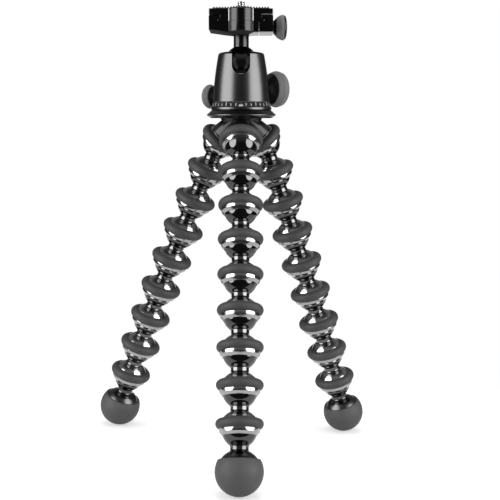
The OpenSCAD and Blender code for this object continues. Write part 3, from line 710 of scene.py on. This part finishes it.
base_finishes = [matt_black_and_painted_shade, grey_anodised]
piece("panning_base", panning_base, "hub", HEAD, base_finishes, ["pan_base"])
print("platform and base turned")

# %% [markdown]
# The scale is printed on the slope in white ink: a short tick every ten degrees and a long one every thirty.
# Ink lies on top of the metal, so each tick is a thin sliver just above the slope.
# A white bar with a red point above it marks the zero at the front.

# %% Printed scale
TICK_STEP = 10
LONG_STEP = 30
TICK_HALF = 0.33
INK = 0.05
INK_SUNK = 0.8


def slope_point(angle, rise, aside):
    """A point on the scale's slope, at a share of its height and some millimetres to the side."""
    z = SCALE_Z + (WASHER_Z - SCALE_Z) * rise
    r = HOUSING_R + SCALE_SLOPE * (1 - rise) + INK
    a = radians(angle) + aside / r
    return Vector((r * cos(a), r * sin(a), z)) * MM


def ink_patch(shape, corners):
    shape.faces.new([shape.verts.new(c) for c in corners])


def solid_ink(shape, name):
    """Gives flat ink patches their thickness, towards the metal."""
    mesh = bpy.data.meshes.new(name)
    bmesh.ops.recalc_face_normals(shape, faces=shape.faces)
    bmesh.ops.solidify(shape, geom=shape.faces[:], thickness=INK * MM * INK_SUNK)
    shape.to_mesh(mesh)
    shape.free()
    return mesh


def printed(name, patches, finish):
    """Ink patches on the slope: an angle, a low and a high share of the slope, and two half widths."""
    ink = bmesh.new()
    for angle, low, high, foot, head in patches:
        edge = ((low, -foot), (low, foot), (high, head), (high, -head))
        ink_patch(ink, [slope_point(angle, rise, aside) for rise, aside in edge])
    piece(name, solid_ink(ink, name), "hub", HEAD, [finish])


TICK_LOW = 0.1
LONG_TOP = 0.96
SHORT_TOP = 0.68
FRONT = -90
ZERO_BAR = (FRONT, 0.02, 0.4, 1.8, 1.5)
ZERO_POINT = (FRONT, 0.52, 0.78, 0.5, 0.15)
ticks = []
for angle in range(0, 360, TICK_STEP):
    top = LONG_TOP if angle % LONG_STEP == 0 else SHORT_TOP
    if angle != FRONT % 360:
        ticks.append((angle, TICK_LOW, top, TICK_HALF, TICK_HALF))
printed("scale_ticks", ticks, white_ink)
printed("zero_bar", [ZERO_BAR], white_ink)
printed("zero_point", [ZERO_POINT], red_ink)
print("scale printed")

# %% [markdown]
# The head's ball and its stem are one turning. The ball is polished and the stem is satin,
# and the stem runs into the ball in a small hollow.

# %% Ball and stem
HEAD_BALL_R = 14.0
HEAD_BALL_Z = 66.7
STEM_R = 6.3
STEM_TOP = 22.2
SPIGOT_R = 4.0
SPIGOT_TOP = 27.3
STEM_HOLLOW = 1.2
STEM_SOFT = 0.3

stem_mid = sqrt((HEAD_BALL_R + STEM_HOLLOW) ** 2 - (STEM_R + STEM_HOLLOW) ** 2)
stem_end = degrees(acos((STEM_R + STEM_HOLLOW) / (HEAD_BALL_R + STEM_HOLLOW)))
stem_end_points = [(STEM_R, stem_mid + 1), (STEM_R, STEM_TOP)]
stem_end_points += [(SPIGOT_R, STEM_TOP), (SPIGOT_R, SPIGOT_TOP), (0, SPIGOT_TOP)]
stem_outline = (
    bow((0, 0), HEAD_BALL_R, -90, stem_end, 40)
    + bow((STEM_R + STEM_HOLLOW, stem_mid), STEM_HOLLOW, 180 + stem_end, 180, 6)[1:]
    + softened(stem_end_points, STEM_SOFT)
)
stem_mesh = turned_mesh("ball_and_stem", lowered(stem_outline, -HEAD_BALL_Z))
zone(stem_mesh, lambda r, z: z < HEAD_BALL_Z + stem_mid, 1)
stem_finishes = [black_anodised, glossy_black]
piece("ball_and_stem", stem_mesh, "ball", HEAD, stem_finishes, ["ball_stem"])
print("ball turned")

# %% [markdown]
# The lock knobs have a glossy black cone that opens outwards into a thick band of grey rubber,
# soft and finely stippled.
# The large one on the right locks the ball, the small one on the left the panning base.

# %% Lock knobs
LOCK_TURN = 34
HOUSING_Z = 34.8
HOUSING_H = 38.2
HOUSING_TOP_R = 19.1
HOUSING_BOW = 0.65
KNOB_GAP = 0.9
KNOB_SOFT = 0.3
BAND_SOFT = 0.5
BAND_FIT = 0.03
CROWN_ROUND = 2
CROWN_RISE = 0.6
BELLY_ROUND = 2.2
SHOULDER_ROUND = 1.2


def housing_side(z):
    t = (z - HOUSING_Z) / HOUSING_H
    return HOUSING_R + (HOUSING_TOP_R - HOUSING_R) * t + 4 * HOUSING_BOW * t * (1 - t)


def at_lock(turn, z):
    return (
        HEAD
        @ Matrix.Translation((0, 0, z * MM))
        @ Matrix.Rotation(radians(turn), 4, "Z")
        @ Matrix.Rotation(pi / 2, 4, "Y")
    )


def lock_knob(name, place, start, cone_l, grip_l, root_r, cone_r, knob_r, hub_r, bore_r, bore_l):
    """A lock knob's black core and its rubber band, drawn outwards from where it starts."""
    opening = start + cone_l
    end = opening + grip_l
    widest = opening + grip_l * 0.5
    core = [(bore_r, opening + bore_l), (bore_r, start), (root_r, start)]
    core += [(cone_r, opening - 0.15), (hub_r, opening), (hub_r, end - 0.8)]
    core += bow((hub_r - CROWN_ROUND, end - CROWN_ROUND), CROWN_ROUND, 30, 80, 6)
    core += [(0, end + CROWN_RISE), (0, opening + bore_l)]
    core_mesh = turned_mesh(name + "_core", softened(core[:-1], KNOB_SOFT) + [core[-1]])
    piece(name + "_core", core_mesh, name, place, [black_plastic], [name])
    inner = hub_r + BAND_FIT
    grip = [(inner, opening), (cone_r + 0.1, opening), (knob_r - 0.7, widest - 2)]
    grip += bow((knob_r - BELLY_ROUND, widest + 0.4), BELLY_ROUND, -40, 20, 8)
    grip += bow((knob_r - 2.1, end - SHOULDER_ROUND), SHOULDER_ROUND, 10, 90, 8) + [(inner, end)]
    grip_mesh = turned_mesh(name + "_band", softened(grip, BAND_SOFT, closed=True), True)
    piece(name + "_band", grip_mesh, name, place, [knob_rubber], [name + "_grip"])


BALL_LOCK_Z = 45.6
PAN_LOCK_Z = 39.4
BALL_ROOT_R = 7.0
PAN_ROOT_R = 4.8
PAN_CLEAR = 4.6
lock_knob(
    "ball_knob", at_lock(LOCK_TURN, BALL_LOCK_Z), housing_side(BALL_LOCK_Z - BALL_ROOT_R) + KNOB_GAP,
    cone_l=5.2, grip_l=10.2, root_r=BALL_ROOT_R, cone_r=13.2, knob_r=15.3, hub_r=12.1,
    bore_r=4.05, bore_l=4.5,
)
lock_knob(
    "pan_knob", at_lock(180 - LOCK_TURN, PAN_LOCK_Z), housing_side(PAN_LOCK_Z - PAN_CLEAR) + KNOB_GAP,
    cone_l=3.9, grip_l=6.5, root_r=PAN_ROOT_R, cone_r=8.7, knob_r=10.2, hub_r=7.8,
    bore_r=2.55, bore_l=3.5,
)
print("lock knobs turned")

# %% [markdown]
# The clamp knob flares like a trumpet: a black throat, a rubber flare, and a domed black cap.

# %% Clamp knob
HALF_W = 26.0
CLAMP_SCREW_Z = 95.2
FLARE_R = 10.35
FLARE_L = 9.4
THROAT = 0.4
FLARE_START = 3.0
FLARE_HUB = FLARE_R - 2.6
THROAT_BORE = 2.52
THROAT_R = 5.3
FLARE_STEP = 0.17
FLARE_ROUND = 0.8
FLARE_ROWS = 12
CAP_IN = 0.7
CAP_EDGE = 0.5
CAP_RISE = 2.0
CAP_SOFT = 0.25

knob_root = Matrix.Translation((HALF_W * MM, 0, CLAMP_SCREW_Z * MM))
clamp_knob_place = HEAD @ knob_root @ Matrix.Rotation(pi / 2, 4, "Y")


def on_clamp_knob(name, outline, closed, finish, node):
    mesh = turned_mesh(name, outline, closed)
    piece(name, mesh, "clamp_knob", clamp_knob_place, [finish], [node])


throat = [(THROAT_BORE, FLARE_L), (THROAT_BORE, THROAT), (THROAT_R, THROAT)]
throat += [(FLARE_HUB, FLARE_START), (FLARE_HUB, FLARE_L)]
throat = softened(throat, KNOB_SOFT, closed=True)
on_clamp_knob("clamp_knob_throat", throat, True, black_plastic, "clamp_knob")
flare_inner = FLARE_HUB + BAND_FIT
flare = [(flare_inner, FLARE_START)]
for i in range(FLARE_ROWS + 1):
    turn = i / FLARE_ROWS
    r = flare_inner + FLARE_STEP + (FLARE_R - flare_inner - FLARE_STEP) * sin(turn * pi / 2)
    flare.append((r, FLARE_START + (FLARE_L - FLARE_ROUND - FLARE_START) * turn))
flare += bow((FLARE_R - FLARE_ROUND, FLARE_L - FLARE_ROUND), FLARE_ROUND, 12, 90, 6)
flare += [(flare_inner, FLARE_L)]
on_clamp_knob("clamp_knob_flare", flare, True, knob_rubber, "clamp_knob_grip")
cap_r = FLARE_R - CAP_IN
cap_edge = FLARE_L + CAP_EDGE
cap = [(0, FLARE_L + SEAT), (cap_r, FLARE_L + SEAT), (cap_r, cap_edge)]
cap += [(cap_r * cos(radians(a)), cap_edge + CAP_RISE * sin(radians(a))) for a in range(15, 91, 15)]
cap = softened(cap, CAP_SOFT)[:-1] + [(0, cap_edge + CAP_RISE)]
on_clamp_knob("clamp_knob_dome", cap, False, black_plastic, "clamp_knob_cap")
print("clamp knob turned")

# %% [markdown]
# The pad on the plate is rubber with a field of small studs, which show as a row of teeth along its edge.
# It is a fine grid whose height follows two waves, with walls down to the plate.

# %% Studded pad
PLATE_TOP = 108.6
PAD_T = 2.0
PAD_HALF_X = 23.0
PAD_HALF_Y = 16.0
PAD_NOSE_R = 9.3
NOSE_Y = 14.2
PAD_REACH = NOSE_Y + PAD_NOSE_R
STUD_PITCH = 2.3
STUD_H = 1.3
PAD_HOLE = 3.6
PAD_STEP = 0.46


def on_pad(x, y):
    """Whether a place is on the pad: a rectangle with a round nose at the front and the back, and a hole."""
    block = abs(x) < PAD_HALF_X and abs(y) < PAD_HALF_Y
    nose = hypot(x, abs(y) - NOSE_Y) < PAD_NOSE_R
    return (block or nose) and hypot(x, y) > PAD_HOLE


def pad_height(x, y):
    wave = sin(pi * x / STUD_PITCH) ** 2 * sin(pi * y / STUD_PITCH) ** 2
    return PLATE_TOP + PAD_T - STUD_H + STUD_H * wave


pad = bmesh.new()
nx = int(2 * PAD_HALF_X / PAD_STEP)
ny = int(2 * PAD_REACH / PAD_STEP)
grid = {}
for i in range(nx + 1):
    for j in range(ny + 1):
        x = -PAD_HALF_X + i * PAD_STEP
        y = -PAD_REACH + j * PAD_STEP
        grid[i, j] = pad.verts.new(Vector((x, y, pad_height(x, y))) * MM)
for i in range(nx):
    for j in range(ny):
        corners = [grid[i, j], grid[i + 1, j], grid[i + 1, j + 1], grid[i, j + 1]]
        middle = sum((c.co for c in corners), Vector()) / 4 / MM
        if on_pad(middle.x, middle.y):
            pad.faces.new(corners)
bmesh.ops.delete(pad, geom=[v for v in pad.verts if not v.link_faces], context="VERTS")
border = [e for e in pad.edges if len(e.link_faces) == 1]
walls = bmesh.ops.extrude_edge_only(pad, edges=border)
for v in (g for g in walls["geom"] if isinstance(g, bmesh.types.BMVert)):
    v.co.z = PLATE_TOP * MM
bmesh.ops.recalc_face_normals(pad, faces=pad.faces)
pad_mesh = bpy.data.meshes.new("studded_pad")
pad.to_mesh(pad_mesh)
pad.free()
piece("studded_pad", pad_mesh, "plate", HEAD, [pad_rubber], ["plate_pad"])
print("pad has", len(pad_mesh.polygons), "faces")

# %% [markdown]
# The camera screw has a real thread: twenty turns to the inch. A thread is a surface whose radius follows
# the height less the turn, so a grid of turns and heights draws it at once.

# %% Threaded screw
SCREW_R = 3.175
THREAD_PITCH = 1.27
THREAD_DEPTH = 0.6
SCREW_HEAD_R = 6.5
SCREW_HEAD_Z = 98.9
SCREW_HEAD_H = 2.5
SCREW_EASE = 0.3
RELIEF_R = 2.5
PAD_TOP = PLATE_TOP + PAD_T
SCREW_PROUD = 5.5
SCREW_TOP = PAD_TOP + SCREW_PROUD
THREAD_START = 0.2
RUN_OUT = 0.6
SCREW_WELD = 1e-7
SLIVER = 1e-8
THREAD_ROWS = 66
THREAD_STEPS = 48


def thread_radius(turn, z):
    phase = ((z - PAD_TOP) / THREAD_PITCH - turn) % 1
    ridge = 1 - abs(2 * phase - 1)
    run_out = min(1, max(0, (SCREW_TOP - z) / RUN_OUT))
    return SCREW_R - THREAD_DEPTH + THREAD_DEPTH * ridge * run_out


screw_verts = []
screw_faces = []
eased_r = SCREW_HEAD_R - SCREW_EASE
head_top = SCREW_HEAD_Z + SCREW_HEAD_H
shank = [(0, SCREW_HEAD_Z), (eased_r, SCREW_HEAD_Z), (SCREW_HEAD_R, SCREW_HEAD_Z + SCREW_EASE)]
shank += [(SCREW_HEAD_R, head_top - SCREW_EASE), (eased_r, head_top)]
shank += [(RELIEF_R, head_top), (RELIEF_R, PAD_TOP - THREAD_START)]
rows = [[(r, z)] * THREAD_STEPS for r, z in shank]
for i in range(THREAD_ROWS + 1):
    z = PAD_TOP + (SCREW_TOP - PAD_TOP) * i / THREAD_ROWS
    rows.append([(thread_radius(k / THREAD_STEPS, z), z) for k in range(THREAD_STEPS)])
rows.append([(0, SCREW_TOP)] * THREAD_STEPS)
for row in rows:
    for k, (r, z) in enumerate(row):
        a = 2 * pi * k / THREAD_STEPS
        screw_verts.append((r * MM * cos(a), r * MM * sin(a), z * MM))
for i in range(len(rows) - 1):
    for k in range(THREAD_STEPS):
        j = (k + 1) % THREAD_STEPS
        base = i * THREAD_STEPS
        screw_faces.append((base + k, base + j, base + THREAD_STEPS + j, base + THREAD_STEPS + k))
screw_mesh = bpy.data.meshes.new("threaded_screw")
screw_mesh.from_pydata(screw_verts, [], screw_faces)
closing = bmesh.new()
closing.from_mesh(screw_mesh)
bmesh.ops.remove_doubles(closing, verts=closing.verts, dist=SCREW_WELD)
bmesh.ops.dissolve_degenerate(closing, edges=closing.edges, dist=SLIVER)
bmesh.ops.recalc_face_normals(closing, faces=closing.faces)
closing.to_mesh(screw_mesh)
closing.free()
piece("threaded_screw", screw_mesh, "camera_screw", HEAD, [bright_steel], ["camera_screw"])
print("screw threaded")

# %% [markdown]
# The pieces inside the hub, the head and the clamp stay as their solids are, and only take their finish.

# %% Inner pieces
for node, finish in (
    ("hub_stud", bright_steel),
    ("pan_washer", white_nylon),
    ("ball_seat", white_nylon),
    ("stem_screw", bright_steel),
    ("ball_screw", bright_steel),
    ("brake_shoe", turned_brass),
    ("pan_screw", bright_steel),
    ("pan_shoe", turned_brass),
    ("guide_pins", bright_steel),
    ("clamp_screw", bright_steel),
):
    mesh = frame["nodes"][node].data
    mesh.materials.clear()
    mesh.materials.append(finish)
print("inner pieces finished")

# %% [markdown]
# The studio is white: a white table whose front edge lies just out of view, and a white world behind it.
# Polished balls mirror all of that, so the table ends where its reflection does. The room they mirror
# is dark in front and overhead, with a dim band between, and white only straight behind.

# %% Studio
TABLE_HALF = 0.6
TABLE_FRONT = -0.205
TABLE_BACK = 2.5
TABLE_WHITE = 0.88
TABLE_GLOW = 0.52
TABLE_FADE = (0.2, 0.42)
BACK_WHITE = 1.0
ROOM_DARK = 0.06
ROOM_ABOVE = 0.3
ROOM_FILL = 0.4
BEHIND = (0.9, 0.98)
BAND = (0.2, 0.65)
ROOF = (0.72, 0.9)

table_mesh = bpy.data.meshes.new("studio_table")
table_mesh.from_pydata(
    [
        (-TABLE_HALF, TABLE_FRONT, 0),
        (TABLE_HALF, TABLE_FRONT, 0),
        (TABLE_HALF, TABLE_BACK, 0),
        (-TABLE_HALF, TABLE_BACK, 0),
    ],
    [],
    [(0, 1, 2, 3)],
)
table = bpy.data.objects.new("studio_table", table_mesh)
scene.collection.objects.link(table)
paper = Finish("studio_paper")
lit = paper.node("ShaderNodeBsdfDiffuse", {}, {"Color": (TABLE_WHITE, TABLE_WHITE, TABLE_WHITE, 1)})
glow = paper.node("ShaderNodeEmission", {}, {"Color": (1, 1, 1, 1), "Strength": TABLE_GLOW})
both = paper.node("ShaderNodeAddShader", {}, {0: lit, 1: glow})
white = paper.node("ShaderNodeEmission", {}, {"Color": (1, 1, 1, 1), "Strength": 1.0})
reach = paper.node("ShaderNodeVectorMath", {"operation": "LENGTH"}, {0: paper.here()}, "Value")
far = paper.rise(reach, TABLE_FADE)
fading = paper.node("ShaderNodeMixShader", {}, {0: far, 1: both, 2: white})
seen = (paper.rays("Camera") + paper.rays("Glossy") + paper.rays("Transmission")).clamped()
mixed = paper.node("ShaderNodeMixShader", {}, {0: seen, 1: lit, 2: fading})
paper.tree.links.new(mixed.socket, paper.output.inputs["Surface"])
table_mesh.materials.append(paper.material)

world = bpy.data.worlds.new("studio_world")
scene.world = world
world.use_nodes = True


class Sky(Finish):
    """The world's nodes, built in the same way."""

    def __init__(self, world):
        self.tree = world.node_tree
        self.tree.nodes.clear()
        self.output = self.tree.nodes.new("ShaderNodeOutputWorld")


sky = Sky(world)
where = sky.node("ShaderNodeTexCoord", {}, {}, "Generated")
depth = sky.node("ShaderNodeSeparateXYZ", {}, {"Vector": where}, "Y")
height = sky.node("ShaderNodeSeparateXYZ", {}, {"Vector": where}, "Z")
direct = sky.rays("Camera")
mirrors = sky.rays("Glossy")
clear = sky.rays("Transmission")
behind = sky.rise(depth, BEHIND)
above = sky.rise(height, BAND)
roof = sky.rise(height, ROOF)
room = ROOM_DARK + above * (1 - roof) * (ROOM_ABOVE - ROOM_DARK)
mirrored = (mirrors + clear).clamped() * (room + behind * (BACK_WHITE - room))
filled = (1 - direct - mirrors - clear).clamped() * ROOM_FILL
level = direct * BACK_WHITE + mirrored + filled
back = sky.node("ShaderNodeBackground", {}, {"Color": (1, 1, 1, 1), "Strength": level})
sky.tree.links.new(back.socket, sky.output.inputs["Surface"])
print("studio built")

# %% [markdown]
# Two oval softboxes stand to the left and right of the camera. On a ball, a lamp's reflection lies
# half as far from the middle as the lamp stands round to the side, which gives their places and sizes.
# Each softbox is a pair: one lamp that only glossy surfaces see, as bright as the highlights are,
# and one that only lights matt surfaces, at a level where a colour shows as it is written.
# A lamp overhead opens the tops of the rings.

# %% Lamps
SOFTBOX_W = 1.0
SOFTBOX_H = 1.15
SOFTBOX_FAR = 1.0
SOFTBOX_SIDE = 62
SOFTBOX_Z = 0.48
MIRROR_LEVEL = 7.0
MATT_LEVEL = 2.3
TOP_SIZE = 1.0
TOP_Z = 1.5
TOP_LEVEL = 3.0


def lamp(name, spot, aim, width, height, level):
    """A soft lamp of a given brightness; its power follows from its area."""
    light = bpy.data.lights.new(name, "AREA")
    light.shape = "ELLIPSE"
    light.size = width
    light.size_y = height
    light.energy = level * pi * (pi * width * height / 4)
    thing = bpy.data.objects.new(name, light)
    scene.collection.objects.link(thing)
    thing.visible_camera = False
    thing.location = spot
    thing.rotation_euler = (aim - spot).to_track_quat("-Z", "Y").to_euler()
    return thing


for side_name, side in (("left", -1), ("right", 1)):
    a = radians(SOFTBOX_SIDE)
    spot = Vector((side * SOFTBOX_FAR * sin(a), -SOFTBOX_FAR * cos(a), SOFTBOX_Z))
    aim = Vector((0, 0, SOFTBOX_Z))
    mirror = lamp(side_name + "_mirror_lamp", spot, aim, SOFTBOX_W, SOFTBOX_H, MIRROR_LEVEL)
    mirror.visible_diffuse = False
    matt = lamp(side_name + "_matt_lamp", spot, aim, SOFTBOX_W, SOFTBOX_H, MATT_LEVEL)
    matt.visible_glossy = False
top = lamp("top_lamp", Vector((0, 0, TOP_Z)), Vector((0, 0, 0)), TOP_SIZE, TOP_SIZE, TOP_LEVEL)
top.visible_glossy = False
print("lamps set")

# %% [markdown]
# Colours are shown as they are, with no film look.

# %% Finish
scene.view_settings.view_transform = "Standard"
